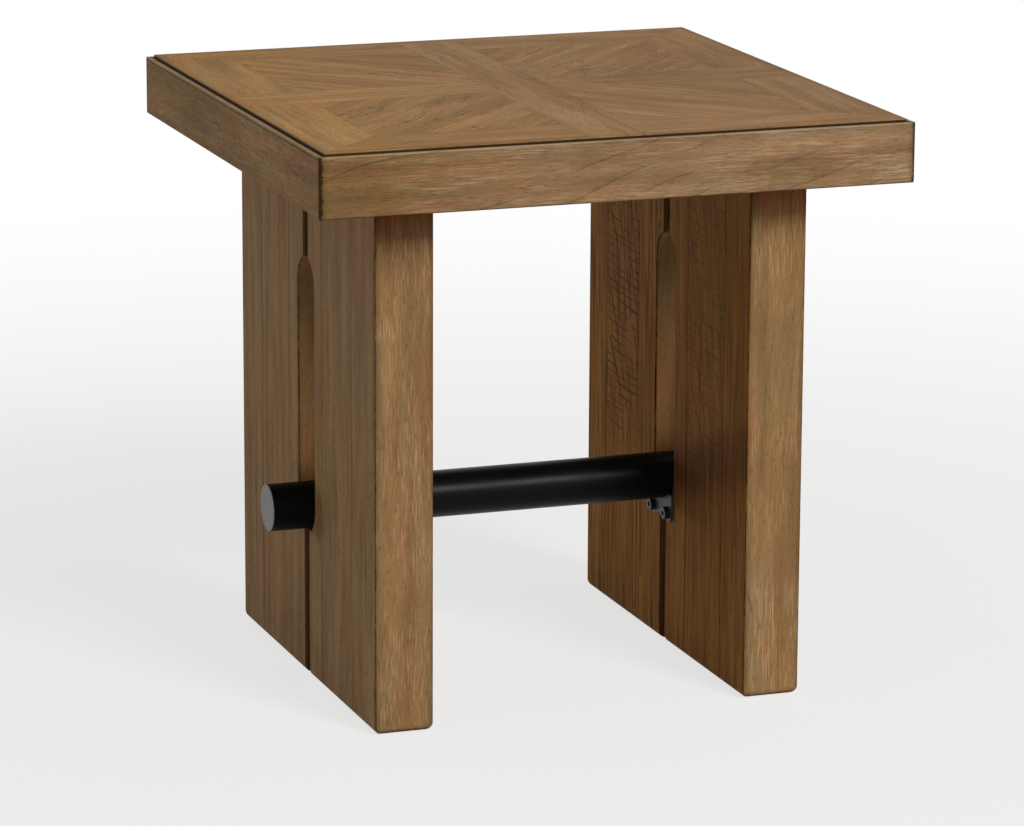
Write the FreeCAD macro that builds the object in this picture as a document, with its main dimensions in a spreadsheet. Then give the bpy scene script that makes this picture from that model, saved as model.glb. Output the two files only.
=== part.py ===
import FreeCAD, Part
import math
import operator
import os
from types import SimpleNamespace

import Sketcher

# A square rustic side table of glued-up boards. The top is a parquet panel let into four mitred
# edge boards. Each leg is a wide upright of two glued planks with a keyhole slot between them.
# A black steel tube runs through both slots and is bolted to the inner faces of the legs.
# Frame: +X along the tube, +Y to the back, +Z up, origin on the floor under the middle of the top.
# All sizes are millimetres.

SIZES = {
    # the top
    "top_side": 610,
    "table_height": 600,
    "edge_height": 60,
    "edge_thickness": 22,
    "edge_arris": 2.5,
    "corner_round": 3,
    "lip_width": 7,
    "lip_arris": 1,
    "parquet_thickness": 8,
    "parquet_step": 3,
    "parquet_arris": 1,
    "core_thickness": 14,
    "core_seat": 7,
    "seam_gap": 0.3,
    "border_width": 72,
    "band_width": 64,
    "field_board": 76,
    # what is hidden in the recess under the top
    "hidden_setback": 5,
    "spline_width": 20,
    "spline_thickness": 4,
    "corner_block_leg": 46,
    "cleat_width": 30,
    "cleat_end_distance": 25,
    # the legs
    "leg_inset": 80,
    "leg_thickness": 60,
    "leg_arris": 2,
    "leg_foot_round": 8,
    "plank_gap": 14,
    "stave_seam": 0.6,
    "slot_clearance": 2.85,
    "slot_below_edge": 100,
    "slot_arris": 1.5,
    "upper_spacer_recess": 12,
    "lower_spacer_recess": 4,
    "spacer_foot_lift": 3,
    "tenon_thickness": 10,
    "tenon_height": 70,
    "tenon_depth": 25,
    # the stretcher
    "stretcher_height": 180,
    "tube_diameter": 48.3,
    "tube_wall": 2.6,
    "tube_overhang": 42,
    "cap_thickness": 3,
    "cap_arris": 0.6,
    "cap_spigot": 12,
    "tab_thickness": 3,
    "tab_seat_rise": 8,
    "tab_lobe": 10,
    "tab_waist": 4,
    "tab_bolt_spacing": 40,
    "tab_bolt_drop": 12,
    # bolts and threaded inserts
    "bolt_diameter": 8,
    "lag_bolt_flats": 13,
    "lag_bolt_head": 5.3,
    "lag_bolt_reach": 40,
    "socket_head_diameter": 13,
    "socket_head_height": 5.5,
    "socket_flats": 5,
    "socket_depth": 3.2,
    "socket_bolt_tip_gap": 1.6,
    "insert_diameter": 12,
    "insert_length": 20,
    "bored_hole_spare": 6,
    # clearances
    "fit_clearance": 0.1,
    "bolt_clearance": 0.2,
}

SHEET = "Sizes"
NEAR = 1e-4
FULL_TURN = 360
SQUARE_TURN = 90
HALF_TURN = 180
HEX_SIDES = 6
CORNERS = 4
ROOT_HALF = math.sqrt(0.5)
ROOT_TWO = math.sqrt(2)
OPERATORS = {
    "+": operator.add,
    "-": operator.sub,
    "*": operator.mul,
    "/": operator.truediv,
    "^": operator.pow,
}
LEG_TURNS = {"right": 0, "left": HALF_TURN}
SIDE_TURNS = {"front": 0, "right": SQUARE_TURN, "back": HALF_TURN, "left": HALF_TURN + SQUARE_TURN}
# The outer and the middle stave's shares of a plank's width; the inner stave is the rest.
STAVE_SHARES = {
    ("right", "front"): (0.298, 0.450),
    ("right", "back"): (0.248, 0.431),
    ("left", "front"): (0.344, 0.450),
    ("left", "back"): (0.326, 0.440),
}
# A leg is drawn on the right and turned half round for the left, which swaps front and back.
PLANK_SIDES = {
    ("right", "front"): -1,
    ("right", "back"): 1,
    ("left", "front"): 1,
    ("left", "back"): -1,
}


class Length:
    """A size in millimetres that keeps the sheet expression it comes from."""

    def __init__(self, value, text):
        self.value = float(value)
        self.text = text

    def join(self, sign, other):
        other = as_length(other)
        value = OPERATORS[sign](self.value, other.value)
        return Length(value, f"({self.text} {sign} {other.text})")

    def __add__(self, other):
        return self.join("+", other)

    def __sub__(self, other):
        return self.join("-", other)

    def __mul__(self, other):
        return self.join("*", other)

    def __rmul__(self, other):
        return self.join("*", other)

    def __truediv__(self, other):
        return self.join("/", other)

    def __pow__(self, other):
        return self.join("^", other)

    def __neg__(self):
        return self.join("*", -1)


def as_length(number):
    if isinstance(number, Length):
        return number
    return Length(number, repr(float(number)))


def square_root(length):
    return Length(math.sqrt(length.value), f"sqrt({length.text})")


def make_sheet(document):
    sheet = document.addObject("Spreadsheet::Sheet", SHEET)
    for row, (alias, value) in enumerate(SIZES.items(), start=1):
        sheet.set(f"A{row}", str(value))
        sheet.setAlias(f"A{row}", alias)
    document.recompute()
    return SimpleNamespace(**{alias: Length(sheet.get(alias), f"{SHEET}.{alias}") for alias in SIZES})


doc = FreeCAD.newDocument("side_table")
size = make_sheet(doc)
subparts = []

# Levels and places that several pieces share.
half_side = size.top_side / 2
edge_inside = half_side - size.edge_thickness
ledge_level = size.table_height - size.parquet_step
underside = ledge_level - size.edge_height
parquet_bottom = size.table_height - size.parquet_thickness
core_bottom = parquet_bottom - size.core_thickness
parquet_half = half_side - size.lip_width
half_seam = size.seam_gap / 2

hidden_bottom = underside + size.hidden_setback
cleat_height = core_bottom - hidden_bottom

leg_outer = half_side - size.leg_inset
leg_inner = leg_outer - size.leg_thickness
leg_half_depth = half_side - size.leg_inset
half_gap = size.plank_gap / 2
half_cleat = leg_half_depth - size.cleat_end_distance

tube_radius = size.tube_diameter / 2
tube_end = leg_outer + size.tube_overhang
slot_radius = tube_radius + size.slot_clearance
slot_bottom = size.stretcher_height - slot_radius
slot_top = underside - size.slot_below_edge
slot_top_centre = slot_top - slot_radius

tab_bolt_y = size.tab_bolt_spacing / 2
tab_bolt_height = size.stretcher_height - tube_radius - size.tab_bolt_drop
lag_bolt_y = leg_half_depth / 2
lag_bolt_height = core_bottom - cleat_height / 2
bolt_hole_radius = size.bolt_diameter / 2 + size.bolt_clearance

tenon_reach = half_gap + size.tenon_depth
low_tenon = slot_bottom / 2
high_tenon = (slot_top + core_bottom) / 2


def bind(thing, path, length):
    thing.setExpression(path, as_length(length).text)


def new_body(label, turn=0, at=(0, 0, 0)):
    """A piece drawn in the table's frame, or about its own axis and then placed at a point."""
    body = doc.addObject("PartDesign::Body", label)
    body.Label = label
    upright = FreeCAD.Vector(0, 0, 1)
    body.Placement = FreeCAD.Placement(FreeCAD.Vector(), FreeCAD.Rotation(upright, turn))
    sign = -1 if turn == HALF_TURN else 1
    for axis, distance in zip("xyz", (at[0] * sign, at[1] * sign, at[2])):
        if isinstance(distance, Length):
            bind(body, f"Placement.Base.{axis}", distance)
    subparts.append(body)
    return body


def origin_feature(body, role):
    return next(feature for feature in body.Origin.OriginFeatures if feature.Role == role)


def new_sketch(body, plane, offset=None):
    drawing = body.newObject("Sketcher::SketchObject", f"{body.Label}_sketch")
    drawing.AttachmentSupport = (origin_feature(body, plane), [""])
    drawing.MapMode = "FlatFace"
    if offset is not None:
        bind(drawing, "AttachmentOffset.Base.z", offset)
    return drawing


def constrain(drawing, kind, *what):
    """Adds a constraint; a Length at the end is bound to the sheet."""
    value = what[-1]
    if isinstance(value, Length):
        index = drawing.addConstraint(Sketcher.Constraint(kind, *what[:-1], value.value))
        drawing.setExpression(f"Constraints[{index}]", value.text)
    else:
        drawing.addConstraint(Sketcher.Constraint(kind, *what))


def arc_between(start, end, radius, bulge):
    """The smaller arc that bulges to the right (1) or left (-1) of its run, set anticlockwise."""
    run = end - start
    half = run.Length / 2
    rise = radius - math.sqrt(max(radius * radius - half * half, 0))
    across = FreeCAD.Vector(run.y, -run.x, 0).normalize()
    middle = (start + end) * 0.5 + across * (rise * bulge)
    if bulge > 0:
        return Part.Arc(start, middle, end)
    return Part.Arc(end, middle, start)


def draw_outline(drawing, points):
    """A closed outline. Each point is (x, y), or (x, y, radius, bulge) where an arc starts."""
    first = drawing.GeometryCount
    count = len(points)
    places = [[as_length(number) for number in point[:2]] for point in points]
    ends = []
    for k, point in enumerate(points):
        start = FreeCAD.Vector(places[k][0].value, places[k][1].value, 0)
        following = places[(k + 1) % count]
        end = FreeCAD.Vector(following[0].value, following[1].value, 0)
        if len(point) == 2:
            drawing.addGeometry(Part.LineSegment(start, end), False)
            ends.append((1, 2))
        else:
            drawing.addGeometry(arc_between(start, end, point[2].value, point[3]), False)
            ends.append((1, 2) if point[3] > 0 else (2, 1))
    for k in range(count):
        after = (k + 1) % count
        constrain(drawing, "Coincident", first + k, ends[k][1], first + after, ends[after][0])
    for k, point in enumerate(points):
        constrain(drawing, "DistanceX", first + k, ends[k][0], places[k][0])
        constrain(drawing, "DistanceY", first + k, ends[k][0], places[k][1])
        if len(point) == 4:
            constrain(drawing, "Radius", first + k, point[2])


def rectangle_points(x_low, x_high, y_low, y_high):
    return [(x_low, y_low), (x_high, y_low), (x_high, y_high), (x_low, y_high)]


def draw_rectangle(drawing, x_low, x_high, y_low, y_high):
    draw_outline(drawing, rectangle_points(x_low, x_high, y_low, y_high))


def draw_circle(drawing, x, y, radius):
    x, y = as_length(x), as_length(y)
    normal = FreeCAD.Vector(0, 0, 1)
    circle = Part.Circle(FreeCAD.Vector(x.value, y.value, 0), normal, radius.value)
    index = drawing.addGeometry(circle, False)
    constrain(drawing, "DistanceX", index, 3, x)
    constrain(drawing, "DistanceY", index, 3, y)
    constrain(drawing, "Radius", index, radius)


def draw_hexagon(drawing, flats):
    """A hexagon about the sketch's origin, by its width across flats."""
    corner = flats / math.sqrt(3)
    angles = [math.tau * k / HEX_SIDES for k in range(HEX_SIDES)]
    draw_outline(drawing, [(corner * math.cos(a), corner * math.sin(a)) for a in angles])


def draw_slot(drawing):
    """The leg's slot, drawn across the leg: round about the tube and round at its top."""
    low, high, r = size.stretcher_height, slot_top_centre, slot_radius
    draw_outline(drawing, [
        (-r, low, r, 1),
        (0, low - r, r, 1),
        (r, low),
        (r, high, r, 1),
        (0, high + r, r, 1),
        (-r, high),
    ])


def pad(body, drawing, length, side="One side", backwards=False):
    feature = body.newObject("PartDesign::Pad", f"{body.Label}_pad")
    feature.Profile = drawing
    feature.SideType = side
    feature.Reversed = backwards
    bind(feature, "Length", length)
    doc.recompute()
    return feature


def cut(body, drawing, length=None, backwards=False):
    """Cuts to a depth away from the sketch plane's normal, or right through where none is given."""
    before = body.Shape.Volume
    feature = body.newObject("PartDesign::Pocket", f"{body.Label}_pocket")
    feature.Profile = drawing
    if length is None:
        feature.Type = "ThroughAll"
        feature.SideType = "Symmetric"
    else:
        feature.Reversed = backwards
        bind(feature, "Length", length)
    doc.recompute()
    if not body.Shape.Volume < before - NEAR:
        raise RuntimeError(f"a cut in {body.Label} removes nothing")
    return feature


def spin(body, drawing, axis):
    feature = body.newObject("PartDesign::Revolution", f"{body.Label}_turned")
    feature.Profile = drawing
    feature.ReferenceAxis = (drawing, [axis])
    feature.Angle = FULL_TURN
    doc.recompute()
    return feature


def repeat_along(body, role, length):
    """Repeats the whole piece once, a length away along an axis."""
    feature = body.newObject("PartDesign::LinearPattern", f"{body.Label}_pair")
    feature.TransformMode = "Whole shape"
    feature.Direction = (origin_feature(body, role), [""])
    feature.Occurrences = 2
    bind(feature, "Length", length)
    body.Tip = feature
    doc.recompute()
    return feature


def repeat_round(body, count):
    feature = body.newObject("PartDesign::PolarPattern", f"{body.Label}_ring")
    feature.TransformMode = "Whole shape"
    feature.Axis = (origin_feature(body, "Z_Axis"), [""])
    feature.Angle = FULL_TURN
    feature.Occurrences = count
    body.Tip = feature
    doc.recompute()
    return feature


def near(number, *lengths):
    return any(abs(number - as_length(length).value) < NEAR for length in lengths)


def ease(body, kind, length, keep):
    """Rounds or chamfers the edges whose box centre and box sides pass the test."""
    base = body.Tip
    names = []
    for index, edge in enumerate(base.Shape.Edges, start=1):
        box = edge.BoundBox
        spans = FreeCAD.Vector(box.XLength, box.YLength, box.ZLength)
        if keep(box.Center, spans):
            names.append(f"Edge{index}")
    if not names:
        raise RuntimeError(f"no edges of {body.Label} to ease")
    feature = body.newObject(f"PartDesign::{kind}", f"{body.Label}_{kind.lower()}")
    feature.Base = (base, names)
    bind(feature, "Radius" if kind == "Fillet" else "Size", length)
    doc.recompute()
    return feature


# The top


def edge_board(name, turn):
    """One mitred board of the top's edge, drawn at the front, rabbeted for parquet and core."""
    body = new_body(f"edge_board_{name}", turn)
    face, inside = -half_side, -edge_inside
    core_stop = inside - size.core_seat
    lip = face + size.lip_width
    section = new_sketch(body, "YZ_Plane")
    draw_outline(section, [
        (face, underside),
        (inside, underside),
        (inside, core_bottom),
        (core_stop, core_bottom),
        (core_stop, parquet_bottom),
        (lip, parquet_bottom),
        (lip, ledge_level),
        (face, ledge_level),
    ])
    pad(body, section, size.top_side, side="Symmetric")
    ease(body, "Fillet", size.edge_arris, lambda c, s: near(c.y, face) and near(c.z, underside))
    ease(body, "Fillet", size.lip_arris, lambda c, s: near(c.y, face) and near(c.z, ledge_level))
    ends = new_sketch(body, "XY_Plane")
    for side in (-1, 1):
        draw_mitre_waste(ends, side)
    cut(body, ends)
    slots = new_sketch(body, "XY_Plane", offset=hidden_bottom)
    for side in (-1, 1):
        draw_spline(slots, side, -1, size.fit_clearance)
    cut(body, slots, cleat_height - size.hidden_setback + size.fit_clearance, backwards=True)


def draw_mitre_waste(drawing, side):
    """What lies beyond the mitre and the rounded corner at one end of a front board."""
    round_start = half_side - size.corner_round
    tip = half_side - size.corner_round * (1 - ROOT_HALF)
    past = half_side + size.edge_thickness
    draw_outline(drawing, [
        (side * edge_inside, -edge_inside),
        (side * tip, -tip, size.corner_round, -side),
        (side * round_start, -half_side),
        (side * round_start, -past),
        (side * past, -past),
        (side * past, -edge_inside),
    ])


def draw_spline(drawing, x_side, y_side, clearance):
    """A spline's plan: a thin strip set square across the mitre at one corner of the top."""
    middle = half_side - size.edge_thickness / 2
    reach = (size.spline_width / 2 + clearance) * ROOT_HALF
    half_thick = (size.spline_thickness / 2 + clearance) * ROOT_HALF
    corners = []
    for along, across in ((1, 1), (-1, 1), (-1, -1), (1, -1)):
        x = middle + along * reach + across * half_thick
        y = middle - along * reach + across * half_thick
        corners.append((x_side * x, y_side * y))
    draw_outline(drawing, corners)


def mitre_splines():
    """Stopped splines that lock the four mitres."""
    body = new_body("mitre_splines")
    plan = new_sketch(body, "XY_Plane", offset=hidden_bottom)
    draw_spline(plan, 1, 1, as_length(0))
    pad(body, plan, cleat_height - size.hidden_setback)
    repeat_round(body, CORNERS)


def corner_blocks():
    """Glue blocks inside the corners, under the core."""
    body = new_body("corner_blocks")
    plan = new_sketch(body, "XY_Plane", offset=hidden_bottom)
    draw_outline(plan, [
        (edge_inside, edge_inside),
        (edge_inside - size.corner_block_leg, edge_inside),
        (edge_inside, edge_inside - size.corner_block_leg),
    ])
    pad(body, plan, cleat_height)
    repeat_round(body, CORNERS)


def core_panel():
    """The plywood panel that carries the parquet, let into the edge boards."""
    body = new_body("core_panel")
    reach = edge_inside + size.core_seat - size.fit_clearance
    plan = new_sketch(body, "XY_Plane", offset=core_bottom)
    draw_rectangle(plan, -reach, reach, -reach, reach)
    pad(body, plan, size.core_thickness)


def parquet_node(label, turn, outlines):
    """A group of parquet boards of one thickness, laid on the core."""
    body = new_body(label, turn)
    plan = new_sketch(body, "XY_Plane", offset=parquet_bottom)
    for points in outlines:
        draw_outline(plan, points)
    pad(body, plan, size.parquet_thickness)
    return body


def ease_parquet_rim(body):
    rim = parquet_half - half_seam
    ease(body, "Fillet", size.parquet_arris,
         lambda c, s: near(c.z, size.table_height) and (near(abs(c.y), rim) or near(abs(c.x), rim)))


def parquet_bands():
    """The band from front to back runs through; the cross band is in two halves."""
    half_band = size.band_width / 2
    side = half_band - half_seam
    rim = parquet_half - half_seam
    long_band = parquet_node("parquet_centre_band", 0, [rectangle_points(-side, side, -rim, rim)])
    ease_parquet_rim(long_band)
    start = half_band + half_seam
    halves = [rectangle_points(start, rim, -side, side), rectangle_points(-rim, -start, -side, side)]
    cross_band = parquet_node("parquet_cross_band", 0, halves)
    ease_parquet_rim(cross_band)


def parquet_border(name, turn):
    """Two mitred border boards, either side of a band, drawn at the front."""
    rim = parquet_half - half_seam
    inner = parquet_half - size.border_width + half_seam
    start = size.band_width / 2 + half_seam
    mitre_shift = half_seam * ROOT_TWO
    outlines = []
    for side in (-1, 1):
        outlines.append([
            (side * start, -rim),
            (side * (rim - mitre_shift), -rim),
            (side * (inner - mitre_shift), -inner),
            (side * start, -inner),
        ])
    body = parquet_node(f"parquet_border_{name}", turn, outlines)
    ease_parquet_rim(body)


def parquet_field(name, turn, centred):
    """Diagonal boards of one field, drawn in the corner of +X and +Y, pointing to the middle."""
    low = size.band_width / 2 + half_seam
    high = parquet_half - size.border_width - half_seam
    span = high - low
    outlines = []
    if centred:
        first = size.field_board / 2
        step = (first - half_seam) * ROOT_TWO
        outlines.append([
            (low, low),
            (low + step, low),
            (high, high - step),
            (high, high),
            (high - step, high),
            (low, low + step),
        ])
    else:
        first = as_length(0)
    while ((first + size.seam_gap) * ROOT_TWO).value < span.value:
        near_edge = (first + half_seam) * ROOT_TWO
        far_edge = (first + size.field_board - half_seam) * ROOT_TWO
        outlines += diagonal_pair(low, high, near_edge, far_edge)
        first = first + size.field_board
    parquet_node(f"parquet_field_{name}", turn, outlines)


def diagonal_pair(low, high, near_edge, far_edge):
    """One board on each side of a field's diagonal, a triangle where it ends the field."""
    if (high - low - far_edge).value > 0:
        upper = [
            (low, low + near_edge),
            (high - near_edge, high),
            (high - far_edge, high),
            (low, low + far_edge),
        ]
    else:
        upper = [(low, low + near_edge), (high - near_edge, high), (low, high)]
    return [upper, [(y, x) for x, y in upper]]


# The legs


def stave_limits(leg, plank, kind):
    """How far a stave's two seams or faces lie from the middle of the leg's depth."""
    outer_share, middle_share = STAVE_SHARES[leg, plank]
    plank_width = leg_half_depth - half_gap
    outer_seam = leg_half_depth - plank_width * outer_share
    inner_seam = outer_seam - plank_width * middle_share
    limits = {
        "outer": (outer_seam, leg_half_depth),
        "middle": (inner_seam, outer_seam),
        "inner": (half_gap, inner_seam),
    }
    return limits[kind]


def bore_leg(body, edges, y, z, radius, depth):
    """A blind hole in the leg's inner face, where this stave holds any of it."""
    low, high = sorted(edge.value for edge in edges)
    if low - radius.value < y.value < high + radius.value:
        hole = new_sketch(body, "YZ_Plane")
        draw_circle(hole, y, z, radius)
        cut(body, hole, leg_inner + depth + size.bored_hole_spare, backwards=True)


def draw_tenons(drawing, heights, clearance):
    """The section of the loose tenons across the leg, with a clearance all round."""
    middle = (leg_inner + leg_outer) / 2
    half_thick = size.tenon_thickness / 2 + clearance
    half_high = size.tenon_height / 2 + clearance
    for z in heights:
        draw_rectangle(drawing, middle - half_thick, middle + half_thick, z - half_high, z + half_high)


def cut_mortises(body, heights, side=None):
    """Mortises for the loose tenons, right through a spacer, or blind into one plank."""
    mortises = new_sketch(body, "XZ_Plane")
    draw_tenons(mortises, heights, size.fit_clearance)
    if side is None:
        cut(body, mortises)
    else:
        cut(body, mortises, tenon_reach + size.fit_clearance, backwards=side < 0)


def leg_stave(leg, plank, kind):
    """One upright board of a leg, drawn on the right."""
    side = PLANK_SIDES[leg, plank]
    start, end = stave_limits(leg, plank, kind)
    edges = (side * start, side * end)
    body = new_body(f"{leg}_leg_{plank}_{kind}_stave", LEG_TURNS[leg])
    plan = new_sketch(body, "XY_Plane")
    draw_rectangle(plan, leg_inner, leg_outer, *edges)
    pad(body, plan, core_bottom)
    if kind == "outer":
        ease(body, "Fillet", size.leg_arris,
             lambda c, s: near(c.y, side * end) and near(s.z, core_bottom))
        ease(body, "Fillet", size.leg_foot_round,
             lambda c, s: near(c.z, 0) and not near(c.y, side * start))
    else:
        ease(body, "Fillet", size.leg_foot_round,
             lambda c, s: near(c.z, 0) and near(c.x, leg_inner, leg_outer))
    if kind == "inner":
        slot = new_sketch(body, "YZ_Plane")
        draw_slot(slot)
        cut(body, slot)
        ease(body, "Chamfer", size.slot_arris,
             lambda c, s: near(c.x, leg_inner, leg_outer) and abs(c.y) < slot_radius.value + NEAR)
    if start.value < tenon_reach.value:
        cut_mortises(body, [low_tenon, high_tenon], side)
    insert_radius = size.insert_diameter / 2 + size.fit_clearance
    lag_radius = size.bolt_diameter / 2 + size.fit_clearance
    bore_leg(body, edges, side * tab_bolt_y, tab_bolt_height, insert_radius, size.insert_length)
    bore_leg(body, edges, side * lag_bolt_y, lag_bolt_height, lag_radius, size.lag_bolt_reach)
    seams = {"outer": edges[:1], "middle": edges, "inner": edges[1:]}[kind]
    ease(body, "Chamfer", size.stave_seam,
         lambda c, s: near(c.y, *seams) and near(c.x, leg_inner, leg_outer))


def leg_spacer(leg, which):
    """The strip glued between the planks, above or below the slot, set back from both faces."""
    body = new_body(f"{leg}_leg_{which}_spacer", LEG_TURNS[leg])
    if which == "lower":
        recess, tenon = size.lower_spacer_recess, low_tenon
        foot, head = size.spacer_foot_lift, size.stretcher_height
    else:
        recess, tenon = size.upper_spacer_recess, high_tenon
        foot, head = slot_top_centre, core_bottom
    plan = new_sketch(body, "XY_Plane", offset=foot)
    draw_rectangle(plan, leg_inner + recess, leg_outer - recess, -half_gap, half_gap)
    pad(body, plan, head - foot)
    slot = new_sketch(body, "YZ_Plane")
    draw_slot(slot)
    cut(body, slot)
    cut_mortises(body, [tenon])


def leg_tenons(leg):
    """Loose tenons that join both planks through the spacers."""
    body = new_body(f"{leg}_leg_tenons", LEG_TURNS[leg])
    section = new_sketch(body, "XZ_Plane")
    draw_tenons(section, [low_tenon, high_tenon], as_length(0))
    pad(body, section, tenon_reach * 2, side="Symmetric")


def leg_inserts():
    """Threaded inserts for the tab bolts, sunk flush in the legs' inner faces."""
    body = new_body("leg_inserts")
    rings = new_sketch(body, "YZ_Plane", offset=leg_inner)
    for side in (-1, 1):
        draw_circle(rings, side * tab_bolt_y, tab_bolt_height, size.insert_diameter / 2)
        draw_circle(rings, side * tab_bolt_y, tab_bolt_height, size.bolt_diameter / 2 + size.fit_clearance)
    pad(body, rings, size.insert_length)
    repeat_round(body, len(LEG_TURNS))


# Fixing the legs to the top


def leg_cleat(leg, which):
    """A cleat along one face of a leg, glued up under the core; the inner one is bolted to it."""
    body = new_body(f"{leg}_{which}_cleat", LEG_TURNS[leg])
    start = leg_outer if which == "outer" else leg_inner - size.cleat_width
    plan = new_sketch(body, "XY_Plane", offset=hidden_bottom)
    draw_rectangle(plan, start, start + size.cleat_width, -half_cleat, half_cleat)
    pad(body, plan, cleat_height)
    if which == "inner":
        holes = new_sketch(body, "YZ_Plane")
        for side in (-1, 1):
            draw_circle(holes, side * lag_bolt_y, lag_bolt_height, bolt_hole_radius)
        cut(body, holes)


def lag_bolts(leg):
    """Hexagon lag bolts through the inner cleat, one into each plank of the leg."""
    seat = leg_inner - size.cleat_width
    body = new_body(f"{leg}_lag_bolts", LEG_TURNS[leg], (seat, -lag_bolt_y, lag_bolt_height))
    head = new_sketch(body, "YZ_Plane")
    draw_hexagon(head, size.lag_bolt_flats)
    pad(body, head, size.lag_bolt_head, backwards=True)
    shank = new_sketch(body, "YZ_Plane")
    draw_circle(shank, 0, 0, size.bolt_diameter / 2)
    pad(body, shank, size.cleat_width + size.lag_bolt_reach)
    repeat_along(body, "Y_Axis", lag_bolt_y * 2)


# The stretcher


def stretcher_tube():
    body = new_body("stretcher_tube")
    ring = new_sketch(body, "YZ_Plane")
    draw_circle(ring, 0, size.stretcher_height, tube_radius)
    draw_circle(ring, 0, size.stretcher_height, tube_radius - size.tube_wall)
    pad(body, ring, (tube_end - size.cap_thickness) * 2, side="Symmetric")


def tube_end_caps():
    """Turned steel caps: a flat disc flush with the tube, on a spigot inside it."""
    body = new_body("tube_end_caps")
    profile = new_sketch(body, "XZ_Plane")
    bind(profile, "AttachmentOffset.Base.y", size.stretcher_height)
    spigot = tube_radius - size.tube_wall - size.fit_clearance
    seat = tube_end - size.cap_thickness
    draw_outline(profile, [
        (seat - size.cap_spigot, 0),
        (tube_end, 0),
        (tube_end, tube_radius - size.cap_arris),
        (tube_end - size.cap_arris, tube_radius),
        (seat, tube_radius),
        (seat, spigot),
        (seat - size.cap_spigot, spigot),
    ])
    spin(body, profile, "H_Axis")
    repeat_round(body, len(LEG_TURNS))


def tube_tabs():
    """Steel tabs welded under the tube, one against each leg: two lobes round their bolts."""
    body = new_body("tube_tabs")
    half_width = tab_bolt_y + size.tab_lobe
    low = tab_bolt_height - size.tab_lobe
    waist = size.tab_waist
    waist_radius = (tab_bolt_y * tab_bolt_y + waist * waist) / (waist * 2)
    seat_radius = tube_radius + size.fit_clearance
    seat_low = size.stretcher_height - seat_radius
    top = seat_low + size.tab_seat_rise
    seat_half = square_root(seat_radius * seat_radius - (seat_radius - size.tab_seat_rise) ** 2)
    plate = new_sketch(body, "YZ_Plane", offset=leg_inner - size.tab_thickness)
    draw_outline(plate, [
        (-tab_bolt_y, low, waist_radius, -1),
        (0, low + waist, waist_radius, -1),
        (tab_bolt_y, low, size.tab_lobe, 1),
        (half_width, tab_bolt_height),
        (half_width, top),
        (seat_half, top, seat_radius, -1),
        (0, seat_low, seat_radius, -1),
        (-seat_half, top),
        (-half_width, top),
        (-half_width, tab_bolt_height, size.tab_lobe, 1),
    ])
    for side in (-1, 1):
        draw_circle(plate, side * tab_bolt_y, tab_bolt_height, bolt_hole_radius)
    pad(body, plate, size.tab_thickness)
    repeat_round(body, len(LEG_TURNS))


def tab_bolts():
    """Low socket-head bolts through the tabs into the legs' inserts."""
    body = new_body("tab_bolts")
    seat = leg_inner - size.tab_thickness
    outer_face = seat - size.socket_head_height
    tip = leg_inner + size.insert_length - size.socket_bolt_tip_gap
    shank, head = size.bolt_diameter / 2, size.socket_head_diameter / 2
    profile = new_sketch(body, "XZ_Plane", offset=tab_bolt_y)
    bind(profile, "AttachmentOffset.Base.y", tab_bolt_height)
    draw_outline(profile, [
        (outer_face, 0),
        (tip, 0),
        (tip, shank),
        (seat, shank),
        (seat, head),
        (outer_face, head),
    ])
    spin(body, profile, "H_Axis")
    socket = new_sketch(body, "YZ_Plane", offset=outer_face)
    bind(socket, "AttachmentOffset.Base.x", -tab_bolt_y)
    bind(socket, "AttachmentOffset.Base.y", tab_bolt_height)
    draw_hexagon(socket, size.socket_flats)
    cut(body, socket, size.socket_depth, backwards=True)
    repeat_along(body, "Y_Axis", size.tab_bolt_spacing)
    repeat_round(body, len(LEG_TURNS))


def build():
    for name, turn in SIDE_TURNS.items():
        edge_board(name, turn)
    mitre_splines()
    corner_blocks()
    core_panel()
    parquet_bands()
    for name, turn in SIDE_TURNS.items():
        parquet_border(name, turn)
    parquet_field("back_right", 0, centred=False)
    parquet_field("back_left", SQUARE_TURN, centred=True)
    parquet_field("front_left", HALF_TURN, centred=True)
    parquet_field("front_right", HALF_TURN + SQUARE_TURN, centred=False)
    for leg in LEG_TURNS:
        for plank in ("front", "back"):
            for kind in ("outer", "middle", "inner"):
                leg_stave(leg, plank, kind)
        leg_spacer(leg, "lower")
        leg_spacer(leg, "upper")
        leg_tenons(leg)
        leg_cleat(leg, "inner")
        leg_cleat(leg, "outer")
        lag_bolts(leg)
    stretcher_tube()
    tube_end_caps()
    tube_tabs()
    leg_inserts()
    tab_bolts()


def check():
    for thing in doc.Objects:
        if "Invalid" in thing.State or "Error" in thing.State:
            raise RuntimeError(f"{thing.Label} did not build: {thing.State}")
    for body in subparts:
        if body.Shape.isNull() or not body.Shape.isValid():
            raise RuntimeError(f"{body.Label} has no valid shape")


def export():
    os.makedirs("parts", exist_ok=True)
    for body in subparts:
        body.Shape.exportStep(f"parts/{body.Label}.step")
        print(body.Label, "solids", len(body.Shape.Solids), "volume", round(body.Shape.Volume))


build()
doc.recompute()
check()
export()
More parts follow.
